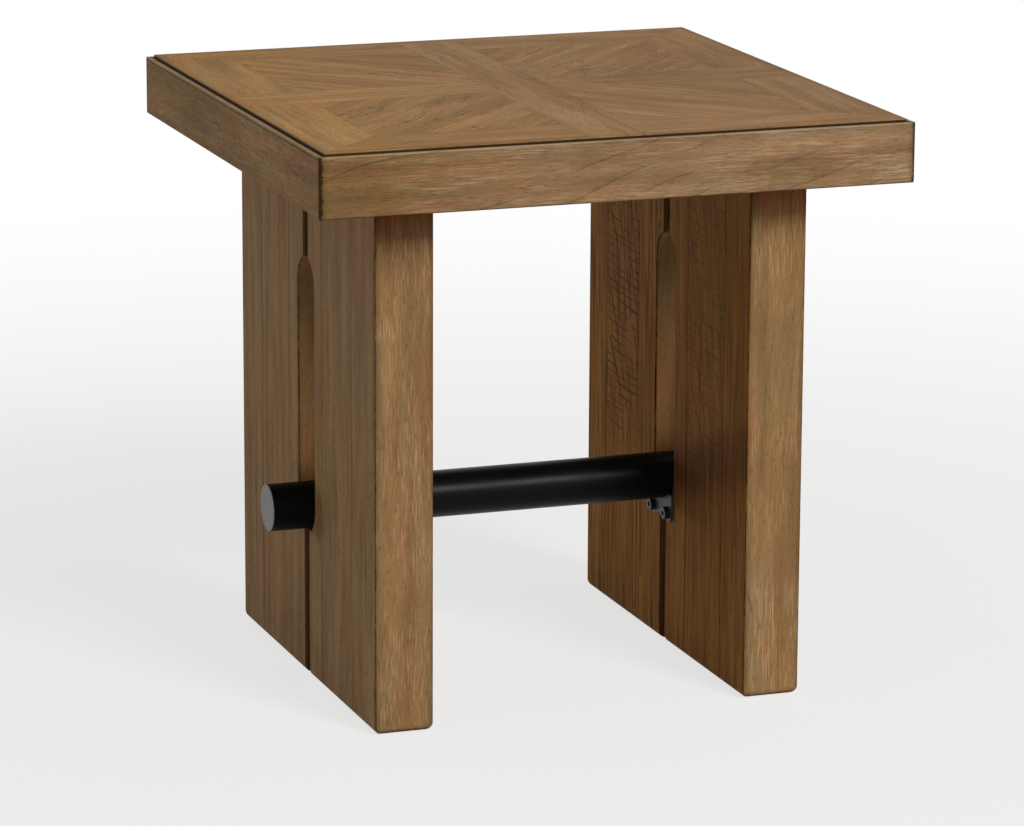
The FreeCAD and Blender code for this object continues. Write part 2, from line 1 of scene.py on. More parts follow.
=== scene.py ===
import math
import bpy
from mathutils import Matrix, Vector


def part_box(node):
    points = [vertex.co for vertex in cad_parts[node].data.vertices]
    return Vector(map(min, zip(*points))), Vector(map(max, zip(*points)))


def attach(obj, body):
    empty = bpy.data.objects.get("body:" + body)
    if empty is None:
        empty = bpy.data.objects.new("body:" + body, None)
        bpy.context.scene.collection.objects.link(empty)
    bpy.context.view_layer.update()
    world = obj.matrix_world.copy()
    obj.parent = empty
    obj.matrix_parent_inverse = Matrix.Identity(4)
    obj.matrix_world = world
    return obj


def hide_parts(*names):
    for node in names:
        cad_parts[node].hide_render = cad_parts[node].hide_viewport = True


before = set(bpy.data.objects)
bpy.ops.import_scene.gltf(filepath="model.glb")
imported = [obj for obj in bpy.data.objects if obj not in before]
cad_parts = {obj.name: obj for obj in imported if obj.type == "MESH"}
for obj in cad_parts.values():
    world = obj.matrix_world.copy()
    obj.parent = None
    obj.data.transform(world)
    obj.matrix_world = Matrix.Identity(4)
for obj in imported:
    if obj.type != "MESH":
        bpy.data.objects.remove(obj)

from types import SimpleNamespace

import bmesh
import bpy
from bpy.props import FloatProperty, FloatVectorProperty, IntProperty, PointerProperty
from mathutils import Euler, Matrix, Vector

bl_info = {
    "name": "Rustic side table",
    "version": (1, 0, 0),
    "blender": (4, 5, 0),
    "location": "3D View > Sidebar > Side Table",
    "description": "Finishes, bolts and studio for a parquet side table on slotted plank legs",
    "category": "Object",
}

BODY = "root"
MM = 0.001
TIMBER = "Wire-brushed stained hardwood"
WHITE = (1, 1, 1, 1)

# The kinds of node that are used often, and the colour sockets of the one that mixes.
MATH = "ShaderNodeMath"
VECTOR = "ShaderNodeVectorMath"
MIX = "ShaderNodeMix"
SPLIT = "ShaderNodeSeparateXYZ"
JOIN = "ShaderNodeCombineXYZ"
COORDINATES = "ShaderNodeTexCoord"
FIRST, SECOND, MIXED = 6, 7, 2

# Sizes and places on the legs, in mm. The slot's two centres are heights above the floor,
# and each plug is a place across the leg and a height.
SLOT_CENTRES = (180, 410)
SLOT_RADIUS = 27
HALF_GROOVE = 7
HALF_LEG_DEPTH = 225
INNER_FACE = 165
PLUGS = ((19.5, 443), (-20, 112))
PLUG_RADIUS = 3.6

# Depths below a face, in mm, over which its finish gives way to the next face's.
SKIN = (0.2, 1.2)

# How strongly the rough sawing shows on the inner face of each stave that has it.
ROUGH_STAVES = {
    "right_leg_back_middle_stave": 1.0,
    "right_leg_front_middle_stave": 0.5,
    "right_leg_front_inner_stave": 0.3,
    "left_leg_front_middle_stave": 0.6,
    "left_leg_back_inner_stave": 0.3,
}

# Sizes of the tabs and their bolts, in metres.
TAB_THICKNESS = 0.003
BOLT_SPACING = 0.04
HEAD_RADIUS = 0.0065
HEAD_HEIGHT = 0.0055
SHANK_RADIUS = 0.004
SOCKET_DEPTH = 0.0032
EDGE_BREAK = 0.0003
SEAT_CHAMFER = 0.0004
TIP_CHAMFER = 0.0006
KNURL_DEPTH = 0.00022

# The studio, in metres. The floor lies just below the feet, so that no two faces coincide.
FLOOR_RADIUS = 24
FLOOR_GAP = 0.0002
FADE_NEAR, FADE_FAR = 0.5, 2.6

# The camera's place in metres and its turns in radians, as the edges in the photograph give them.
CAMERA_PLACE = (-1.6307, -4.5521, 1.4295)
CAMERA_YAW, CAMERA_PITCH, CAMERA_ROLL = 0.3433, 0.2376, 0.0047
SENSOR_WIDTH = 36


def linear(hex_colour):
    """An sRGB hex colour as linear red, green, blue and a full alpha."""
    shares = [int(hex_colour[place:place + 2], 16) / 255 for place in (1, 3, 5)]
    return tuple(s / 12.92 if s <= 0.04045 else ((s + 0.055) / 1.055) ** 2.4 for s in shares) + (1,)


def add(tree, kind, inputs=None, **settings):
    """Adds a node, with its settings and with a value or a link for each named input."""
    made = tree.nodes.new(kind)
    for name, value in settings.items():
        setattr(made, name, value)
    for socket, value in (inputs or {}).items():
        if isinstance(value, bpy.types.NodeSocket):
            tree.links.new(value, made.inputs[socket])
        else:
            made.inputs[socket].default_value = value
    return made


class TimberSettings(bpy.types.PropertyGroup):
    parquet_stain: FloatVectorProperty(
        name="Parquet stain", description="Brown stain of the parquet boards",
        subtype="COLOR", size=4, min=0, max=1, default=linear("#97754F"))
    edge_stain: FloatVectorProperty(
        name="Edge stain", description="Brown stain of the edge boards",
        subtype="COLOR", size=4, min=0, max=1, default=linear("#90704F"))
    leg_stain: FloatVectorProperty(
        name="Leg stain", description="Brown stain of the leg planks",
        subtype="COLOR", size=4, min=0, max=1, default=linear("#90704E"))
    groove_stain: FloatVectorProperty(
        name="Groove stain", description="Dark reddish stain of the strips in the legs' grooves",
        subtype="COLOR", size=4, min=0, max=1, default=linear("#5E3623"))
    # Painted shade and bounce light: this deeper golden stain on the faces that the legs turn to each other
    # stands in for the warm, shaded light between them.
    inner_bounce_shade_stain: FloatVectorProperty(
        name="Inner stain", description="Deeper golden stain on the faces that the legs turn to each other",
        subtype="COLOR", size=4, min=0, max=1, default=linear("#9C6E38"))
    # Painted light: the paler stain on the slot walls stands in for the light that reaches them.
    painted_lit_slot_stain: FloatVectorProperty(
        name="Slot stain", description="Paler golden stain on the walls of the slots",
        subtype="COLOR", size=4, min=0, max=1, default=linear("#C49D71"))
    glaze: FloatVectorProperty(
        name="Glaze", description="Dark glaze rubbed into arrises, seams and steps",
        subtype="COLOR", size=4, min=0, max=1, default=linear("#21150D"))
    glaze_reach: FloatProperty(
        name="Glaze reach", description="How far the dark glaze reaches from an arris",
        subtype="DISTANCE", unit="LENGTH", min=0, default=0.0024)


class SteelSettings(bpy.types.PropertyGroup):
    tube_colour: FloatVectorProperty(
        name="Tube colour", description="Black powder coat of the stretcher tube",
        subtype="COLOR", size=4, min=0, max=1, default=linear("#0B0B0B"))
    cap_colour: FloatVectorProperty(
        name="Cap colour", description="Grey face of the tube's end caps",
        subtype="COLOR", size=4, min=0, max=1, default=linear("#7E7C7A"))
    tab_colour: FloatVectorProperty(
        name="Tab colour", description="Grey coat of the welded tabs",
        subtype="COLOR", size=4, min=0, max=1, default=linear("#424242"))
    head_chamfer: FloatProperty(
        name="Head chamfer", description="Chamfer at the top of each bolt's head",
        subtype="DISTANCE", unit="LENGTH", min=0, default=0.0008)
    socket_flats: FloatProperty(
        name="Socket flats", description="Width across the flats of each bolt's socket",
        subtype="DISTANCE", unit="LENGTH", min=0, default=0.005)
    knurl_teeth: IntProperty(
        name="Knurl teeth", description="Teeth of the knurl round each bolt's head",
        min=8, max=60, default=30)


class StageSettings(bpy.types.PropertyGroup):
    floor_colour: FloatVectorProperty(
        name="Floor colour", description="Pale colour of the studio floor",
        subtype="COLOR", size=4, min=0, max=1, default=linear("#D6D6D4"))
    key_power: FloatProperty(
        name="Key power", description="Power of the large high lamp in front",
        subtype="POWER", unit="POWER", min=0, default=360)
    side_power: FloatProperty(
        name="Side power", description="Power of the long low lamp at the back left",
        subtype="POWER", unit="POWER", min=0, default=50)
    room_light: FloatProperty(
        name="Room light", description="Strength of the even light from all round",
        min=0, default=0.25)
    near_glow: FloatProperty(
        name="Near glow", description="Share of plain white in the floor that is seen beside the table",
        min=0, max=1, default=0.72)
    lens: FloatProperty(
        name="Lens", description="Focal length of the camera",
        subtype="DISTANCE_CAMERA", unit="CAMERA", min=1, default=169.9)


# Patterns that every timber shares. All of their distances are millimetres.


def grain_space(tree, turn, order, centre=(0, 0, 0)):
    """Object coordinates in mm from a board's centre, as along the grain, across the board and into it."""
    turned = add(tree, "ShaderNodeMapping", {
        "Vector": add(tree, COORDINATES).outputs["Object"],
        "Rotation": (0, 0, math.radians(turn)),
        "Scale": (1 / MM, 1 / MM, 1 / MM),
        "Location": tuple(-part for part in centre),
    })
    parts = add(tree, SPLIT, {0: turned.outputs[0]}).outputs
    return add(tree, JOIN, {k: parts[axis] for k, axis in enumerate(order)}).outputs[0]


def table_place(tree):
    """Object coordinates in mm, in the table's own frame."""
    place = add(tree, COORDINATES).outputs["Object"]
    return add(tree, VECTOR, {0: place, "Scale": 1 / MM}, operation="SCALE").outputs[0]


def stretched_noise(tree, place, lengths, detail=2, roughness=0.5, output=0):
    """Noise whose patches have these lengths in mm along, across and into a board."""
    scaled = add(tree, VECTOR, {0: place, 1: tuple(1 / length for length in lengths)}, operation="MULTIPLY")
    return add(tree, "ShaderNodeTexNoise", {
        "Vector": scaled.outputs[0],
        "Scale": 1,
        "Detail": detail,
        "Roughness": roughness,
    }).outputs[output]


def ramp(tree, value, low, high, start=0, end=1):
    """Eases from start to end as a value goes from low to high."""
    return add(tree, "ShaderNodeMapRange", {
        "Value": value,
        "From Min": low,
        "From Max": high,
        "To Min": start,
        "To Max": end,
    }, interpolation_type="SMOOTHSTEP").outputs[0]


def product(tree, *values):
    """All the values multiplied."""
    total = values[0]
    for value in values[1:]:
        total = add(tree, MATH, {0: total, 1: value}, operation="MULTIPLY").outputs[0]
    return total


def greatest(tree, *values):
    """The largest of the values."""
    total = values[0]
    for value in values[1:]:
        total = add(tree, MATH, {0: total, 1: value}, operation="MAXIMUM").outputs[0]
    return total


def plus_shares(tree, total, *shares):
    """A value plus each other value times its factor."""
    for value, factor in shares:
        total = add(tree, MATH, {0: value, 1: factor, 2: total}, operation="MULTIPLY_ADD").outputs[0]
    return total


def distance_from(tree, value, level):
    """How far a value is from a level, above or below it."""
    away = add(tree, MATH, {0: value, 1: level}, operation="SUBTRACT").outputs[0]
    return add(tree, MATH, {0: away}, operation="ABSOLUTE").outputs[0]


def sawtooth(tree, value, period):
    """Rises from 0 to 1 over each period of a value."""
    turns = add(tree, MATH, {0: value, 1: period}, operation="DIVIDE").outputs[0]
    return add(tree, MATH, {0: turns}, operation="FRACT").outputs[0]


def contour(tree, value, level, width):
    """1 on the thin line where a value crosses a level, and 0 away from it."""
    return ramp(tree, distance_from(tree, value, level), 0, width, 1, 0)


def ruled(tree, value, spacing, half_width):
    """Thin lines a spacing apart in a value, in mm."""
    return contour(tree, sawtooth(tree, value, spacing), 0.5, half_width / spacing)


def tinge(tree, colour, share, tint):
    """A colour multiplied by a tint, as strongly as the share says."""
    tint = add(tree, MIX, {0: share, FIRST: WHITE, SECOND: tint}, data_type="RGBA").outputs[MIXED]
    return add(tree, VECTOR, {0: colour, 1: tint}, operation="MULTIPLY").outputs[0]


def drifting(tree, stain, across, span, left_tint, right_tint):
    """A stain whose tint changes over a span from the left of the table to the right."""
    share = ramp(tree, across, *span)
    tint = add(tree, MIX, {0: share, FIRST: left_tint, SECOND: right_tint}, data_type="RGBA").outputs[MIXED]
    return add(tree, VECTOR, {0: tuple(stain)[:3], 1: tint}, operation="MULTIPLY").outputs[0]


def growth_rings(tree, given, wood):
    """Dark rings: shells about a pith that wanders and slopes along the board and lies under its face."""
    place = add(tree, SPLIT, {0: given["Grain"]}).outputs
    wander = stretched_noise(tree, wood, (210, 120, 120), detail=1, output="Color")
    wander = add(tree, SPLIT, {0: wander}).outputs
    wobble = stretched_noise(tree, wood, (60, 18, 18), detail=3)
    off_centre = add(tree, MATH, {0: given["Board"], 1: 0.5}, operation="SUBTRACT").outputs[0]
    sideways = plus_shares(
        tree, place["Y"], (off_centre, 70), (given["Slope"], place["X"]), (wander["X"], 60))
    under = plus_shares(tree, given["Pith"], (wander["Y"], 75), (place["Z"], 1))
    shell = add(tree, JOIN, {0: sideways, 1: under}).outputs[0]
    distance = add(tree, VECTOR, {0: shell}, operation="LENGTH").outputs["Value"]
    phase = sawtooth(tree, plus_shares(tree, distance, (wobble, 5)), given["Ring"])
    # Each ring darkens slowly, ends in a thin dark line, and starts pale again.
    late = greatest(tree, product(tree, ramp(tree, phase, 0.3, 0.9), 0.35), ramp(tree, phase, 0.85, 0.94))
    late = product(tree, late, ramp(tree, phase, 0.95, 0.99, 1, 0))
    patchy = ramp(tree, stretched_noise(tree, wood, (90, 26, 26)), 0.34, 0.6)
    return product(tree, late, patchy, given["Figure"])


def stained_colour(tree, given, wood, figure, pores, combed):
    """The stain in warmer and greyer patches, with its streaks and marks and the dark glaze over it."""
    patch = stretched_noise(tree, wood, (150, 70, 70))
    tint = add(tree, MIX, {
        0: ramp(tree, patch, 0.35, 0.65), FIRST: (1.03, 1.01, 0.88, 1), SECOND: (0.97, 1.01, 0.98, 1),
    }, data_type="RGBA").outputs[MIXED]
    # The stain takes a rosier brown in streaks about 25 mm wide.
    rosy = ramp(tree, stretched_noise(tree, wood, (210, 25, 25)), 0.45, 0.6)
    tint = add(tree, MIX, {
        0: rosy, FIRST: tint, SECOND: (1.05, 0.975, 0.88, 1),
    }, data_type="RGBA").outputs[MIXED]
    colour = add(tree, VECTOR, {0: given["Stain"], 1: tint}, operation="MULTIPLY").outputs[0]
    colour = tinge(tree, colour, given["Marked"], (0.27, 0.18, 0.12, 1))
    # Where the brush has cut the stain away, the wood is paler and greyer.
    bared = greatest(tree, product(tree, combed, 0.6), given["Scratched"])
    colour = tinge(tree, colour, bared, (1.55, 1.75, 2.1, 1))
    # Darker and paler streaks are about 14 mm wide.
    streak = stretched_noise(tree, wood, (190, 14, 14))
    level = product(
        tree,
        ramp(tree, streak, 0.3, 0.7, 0.85, 1.15),
        ramp(tree, patch, 0.3, 0.7, 0.91, 1.09),
        ramp(tree, figure, 0, 1, 1, 0.6),
        ramp(tree, pores, 0, 1, 1.04, 0.78),
        ramp(tree, combed, 0, 1, 0.96, 1.02))
    stained = add(tree, VECTOR, {0: colour, "Scale": level}, operation="SCALE").outputs[0]
    glazed = add(tree, MIX, {0: given["Glazed"], FIRST: stained, SECOND: given["Glaze"]}, data_type="RGBA")
    return glazed.outputs[MIXED]


def timber_group():
    """Stained hardwood with open pores, wire-brushed along the grain so that its rings stand out."""
    tree = bpy.data.node_groups.new(TIMBER, "ShaderNodeTree")
    sockets = (
        ("Grain", "NodeSocketVector", None),
        ("Board", "NodeSocketFloat", 0.5),
        ("Pith", "NodeSocketFloat", 30),
        ("Slope", "NodeSocketFloat", 0),
        ("Ring", "NodeSocketFloat", 5),
        ("Figure", "NodeSocketFloat", 0.5),
        ("Combing", "NodeSocketFloat", 0.5),
        ("Stain", "NodeSocketColor", (0.2, 0.1, 0.05, 1)),
        ("Glaze", "NodeSocketColor", (0.02, 0.01, 0.005, 1)),
        ("Glazed", "NodeSocketFloat", 0),
        ("Marked", "NodeSocketFloat", 0),
        ("Scratched", "NodeSocketFloat", 0),
    )
    for name, kind, default in sockets:
        socket = tree.interface.new_socket(name, in_out="INPUT", socket_type=kind)
        if default is not None:
            socket.default_value = default
    results = {"Colour": "NodeSocketColor", "Roughness": "NodeSocketFloat", "Normal": "NodeSocketVector"}
    for name, kind in results.items():
        tree.interface.new_socket(name, in_out="OUTPUT", socket_type=kind)
    given = add(tree, "NodeGroupInput").outputs

    # Each board is cut from its own place in the log.
    shift = add(tree, VECTOR, {0: (1731, 613, 257), "Scale": given["Board"]}, operation="SCALE").outputs[0]
    wood = add(tree, VECTOR, {0: given["Grain"], 1: shift}, operation="ADD").outputs[0]
    figure = growth_rings(tree, given, wood)

    # Pores are short dark streaks, and combing is the pale streaks that the brush leaves. Both are
    # about 1 mm wide, two to three times as coarse as the real ones, so that they show.
    pores = ramp(tree, stretched_noise(tree, wood, (9, 0.9, 0.9), roughness=0.6), 0.55, 0.65)
    worn = ramp(tree, stretched_noise(tree, wood, (70, 40, 40)), 0.3, 0.6)
    combed = ramp(tree, stretched_noise(tree, wood, (26, 1.1, 1.1), detail=1), 0.53, 0.6)
    combed = product(tree, combed, worn, given["Combing"])

    rough = plus_shares(tree, ramp(tree, pores, 0, 1, 0.56, 0.74), (given["Glazed"], -0.12))
    # The brush and the saw lower the soft wood, the pores and the marks, each by up to 0.2 mm.
    height = plus_shares(tree, 0, (pores, -0.16), (figure, 0.12), (combed, 0.08), (given["Marked"], -0.2))
    bump = add(tree, "ShaderNodeBump", {"Height": height, "Distance": MM, "Strength": 0.7})
    add(tree, "NodeGroupOutput", {
        "Colour": stained_colour(tree, given, wood, figure, pores, combed),
        "Roughness": rough,
        "Normal": bump.outputs[0],
    })


def new_material(name):
    """A material with no nodes yet, and its node tree."""
    material = bpy.data.materials.new(name)
    material.use_nodes = True
    material.node_tree.nodes.clear()
    return material, material.node_tree


def finish_surface(tree, **inputs):
    """Ends a material in one shader; each keyword is an input's name with its spaces as underscores."""
    values = {key.replace("_", " "): value for key, value in inputs.items()}
    shader = add(tree, "ShaderNodeBsdfPrincipled", values)
    add(tree, "ShaderNodeOutputMaterial", {"Surface": shader.outputs[0]})


def timber(name, grain, tree, **inputs):
    """Puts the shared timber on a board, and ends its material."""
    inputs["Grain"] = grain
    wood = add(tree, "ShaderNodeGroup", inputs, node_tree=bpy.data.node_groups[TIMBER], label=name)
    finish_surface(
        tree, Base_Color=wood.outputs["Colour"], Roughness=wood.outputs["Roughness"],
        Normal=wood.outputs["Normal"], Specular_IOR_Level=0.02)


def dress(node, material):
    """Gives a CAD node a material in place of its plain one."""
    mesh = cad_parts[node].data
    mesh.materials.clear()
    mesh.materials.append(material)


def from_faces(tree, place, centre, half):
    """How deep a point lies inside a box, from each pair of its faces, in mm."""
    away = add(tree, VECTOR, {0: place, 1: centre}, operation="SUBTRACT").outputs[0]
    away = add(tree, VECTOR, {0: away}, operation="ABSOLUTE").outputs[0]
    inside = add(tree, VECTOR, {0: half, 1: away}, operation="SUBTRACT").outputs[0]
    return add(tree, SPLIT, {0: inside}).outputs


def facing(tree, axis):
    """1 on faces square to an axis, and 0 on faces along it."""
    normal = add(tree, COORDINATES).outputs["Normal"]
    return distance_from(tree, add(tree, SPLIT, {0: normal}).outputs[axis], 0)


def ragged(tree, grain, distance, reach, strength=1):
    """A glaze that is full at a line and gone at its reach, with a ragged rubbed edge."""
    jitter = stretched_noise(tree, grain, (9, 3, 3))
    return ramp(tree, plus_shares(tree, distance, (jitter, reach)), reach * 0.75, reach * 1.5, strength, 0)


def cracks(tree, grain, lengths):
    """Thin dark cracks that wander along the grain."""
    return contour(tree, stretched_noise(tree, grain, lengths, roughness=0.6), 0.5, 0.02)


def saw_marks(tree, grain):
    """A broken net of cuts: one set nearly square to the grain, one that leans a little from it."""
    parts = add(tree, SPLIT, {0: grain}).outputs
    bend = stretched_noise(tree, grain, (130, 60, 60), detail=1)
    uneven = stretched_noise(tree, grain, (24, 300, 300), detail=1)
    cross = plus_shares(tree, parts["X"], (parts["Y"], -0.06), (bend, 5), (uneven, 16))
    lean = plus_shares(tree, parts["Y"], (parts["X"], -0.4), (bend, 30))
    cross_gaps = ramp(tree, stretched_noise(tree, grain, (11, 44, 44)), 0.42, 0.5)
    lean_gaps = ramp(tree, stretched_noise(tree, grain, (60, 30, 30)), 0.38, 0.46)
    return greatest(
        tree,
        product(tree, ruled(tree, cross, 9, 1.5), cross_gaps),
        product(tree, ruled(tree, lean, 19, 2.8), lean_gaps))


def plug_marks(tree, parts):
    """Thin dark rings round the two small plugs on the inner face of the right leg."""
    across = add(tree, JOIN, {0: parts["Y"], 1: parts["Z"]}).outputs[0]
    rings = []
    for y, z in PLUGS:
        away = add(tree, VECTOR, {0: across, 1: (y, z, 0)}, operation="DISTANCE").outputs["Value"]
        rings.append(contour(tree, away, PLUG_RADIUS, 1.1))
    return greatest(tree, *rings)


def brush_scratches(tree, grain):
    """Short pale cuts that slant across the grain, in a few patches."""
    parts = add(tree, SPLIT, {0: grain}).outputs
    bend = stretched_noise(tree, grain, (40, 40, 40))
    slant = plus_shares(tree, parts["X"], (parts["Y"], -0.2), (bend, 14))
    broken = ramp(tree, stretched_noise(tree, grain, (8, 14, 14), detail=1), 0.47, 0.54)
    patches = ramp(tree, stretched_noise(tree, grain, (110, 26, 26)), 0.54, 0.62)
    return product(tree, ruled(tree, slant, 7, 1.1), broken, patches)


def board_number(tree, grain, width, offset, halves, seed):
    """A random number for each board: boards lie in rows of a width, each cut in halves or not."""
    parts = add(tree, SPLIT, {0: grain}).outputs
    row = add(tree, MATH, {0: parts["Y"], 1: offset}, operation="ADD").outputs[0]
    row = add(tree, MATH, {0: row, 1: width}, operation="DIVIDE").outputs[0]
    row = add(tree, MATH, {0: row}, operation="FLOOR").outputs[0]
    half = add(tree, MATH, {0: parts["X"], 1: 0}, operation="GREATER_THAN").outputs[0]
    cell = add(tree, JOIN, {0: row, 1: product(tree, half, halves), 2: seed}).outputs[0]
    return add(tree, "ShaderNodeTexWhiteNoise", {"Vector": cell}, noise_dimensions="3D").outputs[0]


class DressParquet(bpy.types.Operator):
    """Stains the parquet boards, each with its own grain direction and tone"""
    bl_idname = "side_table.dress_parquet"
    bl_label = "Dress parquet"

    def execute(self, context):
        timbers = context.scene.table_timber
        reach = timbers.glaze_reach / MM
        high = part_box("parquet_centre_band")[1] / MM
        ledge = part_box("edge_board_front")[1].z / MM
        whole, board = (1000, 500), 76
        # Piece, turn of its grain, width and offset of its rows, in halves or not, seed, cracks.
        pieces = (
            ("centre_band", -90, *whole, 0, 0.45, 0),
            ("cross_band", 0, *whole, 1, 0.3, 0),
            ("border_front", 0, *whole, 1, 0.15, 0),
            ("border_back", 0, *whole, 1, 0.65, 0),
            ("border_left", -90, *whole, 1, 0.35, 0),
            ("border_right", -90, *whole, 1, 0.85, 0),
            ("field_back_right", -45, board, 0, 0, 0.2, 0.7),
            ("field_front_left", -45, board, board / 2, 0, 0.6, 0.9),
            ("field_back_left", -135, board, board / 2, 0, 0.9, 0.7),
            ("field_front_right", -135, board, 0, 0, 0.4, 0.3),
        )
        for piece, turn, width, offset, halves, seed, cracked in pieces:
            material, tree = new_material(f"Brushed oak {piece}")
            grain = grain_space(tree, turn, "XYZ", (0, 0, high.z))
            number = board_number(tree, grain, width, offset, halves, seed)
            place = table_place(tree)
            parts = add(tree, SPLIT, {0: place}).outputs
            outward = greatest(tree, *(distance_from(tree, parts[axis], 0) for axis in "XY"))
            inward = add(tree, MATH, {0: high.y, 1: outward}, operation="SUBTRACT").outputs[0]
            # The glaze lies in the step round the parquet, and the brush has cleared its upper arris.
            line = ragged(tree, grain, inward, reach * 0.35, 0.9)
            line = product(tree, line, ramp(tree, parts["Z"], ledge + 1.4, ledge + 2.4, 1, 0.15))
            haze = ramp(tree, inward, 0, 14, 0.22, 0)
            stain = drifting(
                tree, timbers.parquet_stain, parts["X"], (-300, 60),
                (1.32, 1.25, 1.08, 1), (1.14, 1.13, 1.22, 1))
            tone = ramp(tree, number, 0, 1, 0.94, 1.06)
            stain = add(tree, VECTOR, {0: stain, "Scale": tone}, operation="SCALE").outputs[0]
            clusters = ramp(tree, stretched_noise(tree, grain, (90, 40, 40)), 0.48, 0.6)
            timber(
                "Parquet board", grain, tree, Board=number, Pith=14, Ring=7, Figure=0.7, Combing=0.5,
                Stain=stain, Glaze=timbers.glaze, Glazed=greatest(tree, line, haze),
                Marked=product(tree, cracks(tree, grain, (60, 7, 7)), clusters, cracked),
                Scratched=product(tree, brush_scratches(tree, grain), 0.4))
            dress(f"parquet_{piece}", material)
        return {"FINISHED"}


class DressEdgeBoards(bpy.types.Operator):
    """Stains the four mitred edge boards and glazes their arrises"""
    bl_idname = "side_table.dress_edge_boards"
    bl_label = "Dress edge boards"

    def execute(self, context):
        timbers = context.scene.table_timber
        reach = timbers.glaze_reach / MM
        low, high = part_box("edge_board_front")
        top, middle = high.z / MM, (high.z + low.z) / 2 / MM
        half = Vector((high.x, high.x, (high.z - low.z) / 2)) / MM
        golden, pale = (0.75, 0.72, 0.65, 1), (0.9, 0.88, 0.8, 1)
        # Board, the axes of its grain, its seed, where its sloping rings cross its length, how
        # strongly its rings, its scratches and a dark line under its lip show, and its left end's tint.
        boards = (
            ("front", "XZY", 0.37, (-230, 0, 0), 0.75, 0.2, 0, golden),
            ("right", "YZX", 0.71, (0, 150, 0), 0.5, 0.4, 0.7, pale),
            ("back", "XZY", 0.12, (200, 0, 0), 0.75, 0.2, 0, golden),
            ("left", "YZX", 0.58, (0, -120, 0), 0.35, 0.8, 0.7, pale),
        )
        for name, order, seed, crossing, figure, scratched, lined, left_tint in boards:
            material, tree = new_material(f"Brushed oak edge {name}")
            board_low, board_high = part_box(f"edge_board_{name}")
            grain = grain_space(tree, 0, order, (board_low + board_high) / 2 / MM + Vector(crossing))
            place = table_place(tree)
            parts = add(tree, SPLIT, {0: place}).outputs
            depths = from_faces(tree, place, (0, 0, middle), half)
            outer = greatest(tree, depths[0], depths[1])
            inner = add(tree, MATH, {0: depths[0], 1: depths[1]}, operation="MINIMUM").outputs[0]
            corner = ragged(tree, grain, outer, reach * 1.8, 0.85)
            foot = ragged(tree, grain, greatest(tree, inner, depths[2]), reach * 0.6, 0.8)
            foot = product(tree, foot, ramp(tree, parts["Z"], middle - 10, middle, 1, 0))
            # The brush has bared the lip outside the ledge, and the glaze lies on the ledge.
            ledge = product(
                tree, ramp(tree, inner, 2.8, 4.2), ramp(tree, parts["Z"], top - 1.2, top - 0.6))
            lip = product(
                tree, ramp(tree, parts["Z"], top - 1.6, top - 0.6), ramp(tree, ledge, 0, 0.3, 1, 0))
            under_lip = product(tree, contour(tree, parts["Z"], top - 2.6, 1.4), lined)
            haze = ramp(tree, outer, 0, 9, 0.4, 0)
            timber(
                "Edge board", grain, tree, Board=seed, Pith=8, Slope=-0.36, Ring=28, Figure=figure,
                Combing=0.85, Glaze=timbers.glaze,
                Stain=drifting(
                    tree, timbers.edge_stain, parts["X"], (-300, 0), left_tint, (1.0, 1.05, 1.22, 1)),
                Glazed=greatest(tree, corner, foot, ledge, haze, under_lip),
                Scratched=greatest(tree, lip, product(tree, brush_scratches(tree, grain), scratched)))
            dress(f"edge_board_{name}", material)
        return {"FINISHED"}


def stave_places(tree, node):
    """Where a point of a stave lies: in its grain, on the table, and from its leg's faces and slot."""
    low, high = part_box(node)
    centre, half = (low + high) / 2 / MM, (high - low) / 2 / MM
    place = table_place(tree)
    parts = add(tree, SPLIT, {0: place}).outputs
    leg = from_faces(
        tree, place, (centre.x, 0, high.z / 2 / MM), (half.x, HALF_LEG_DEPTH, high.z / 2 / MM))
    own = from_faces(tree, place, centre, half)
    # The slot is a round-ended shape from the tube's axis up the leg.
    up = add(tree, "ShaderNodeClamp", {"Value": parts["Z"], "Min": SLOT_CENTRES[0], "Max": SLOT_CENTRES[1]})
    up = add(tree, MATH, {0: parts["Z"], 1: up.outputs[0]}, operation="SUBTRACT").outputs[0]
    radial = add(tree, JOIN, {0: parts["Y"], 1: up}).outputs[0]
    radial = add(tree, VECTOR, {0: radial}, operation="LENGTH").outputs["Value"]
    slot = distance_from(tree, radial, SLOT_RADIUS)
    return SimpleNamespace(
        grain=grain_space(tree, 0, "ZYX", centre),
        parts=parts,
        slot=slot,
        beyond_slot=ramp(tree, slot, 0.5, 1.5),
        middle=distance_from(tree, parts["Y"], 0),
        seam=greatest(tree, own[0], own[1]),
        under_broad=leg[0],
        under_narrow=leg[1],
        on_broad=ramp(tree, leg[0], *SKIN, 1, 0),
        on_narrow=ramp(tree, leg[1], *SKIN, 1, 0),
        on_inner=ramp(tree, distance_from(tree, parts["X"], 0), INNER_FACE + 0.5, INNER_FACE + 2.5, 1, 0),
    )


def stave_glaze(tree, at, reach):
    """Dark glaze at a stave's arrises, foot and seams and round its slot and groove, and a faint haze."""
    upright = greatest(tree, at.under_broad, at.under_narrow)
    arris = ragged(tree, at.grain, upright, reach * 0.7, 0.9)
    foot = ragged(tree, at.grain, at.parts["Z"], reach * 2, 0.8)
    seam = ragged(tree, at.grain, at.seam, 1.2)
    seam = product(tree, seam, ramp(tree, at.on_inner, 0, 1, 0.4, 0.8))
    slot = ragged(tree, at.grain, greatest(tree, at.slot, at.under_broad), reach * 0.7)
    groove = ramp(tree, at.middle, HALF_GROOVE + 0.8, HALF_GROOVE + 1.8, 0.85, 0)
    groove = product(tree, groove, ramp(tree, at.under_broad, 0.2, 1.6, 1, 0), at.beyond_slot)
    haze = ramp(tree, upright, 0, 7, 0.28, 0)
    return greatest(tree, arris, foot, seam, slot, groove, haze)


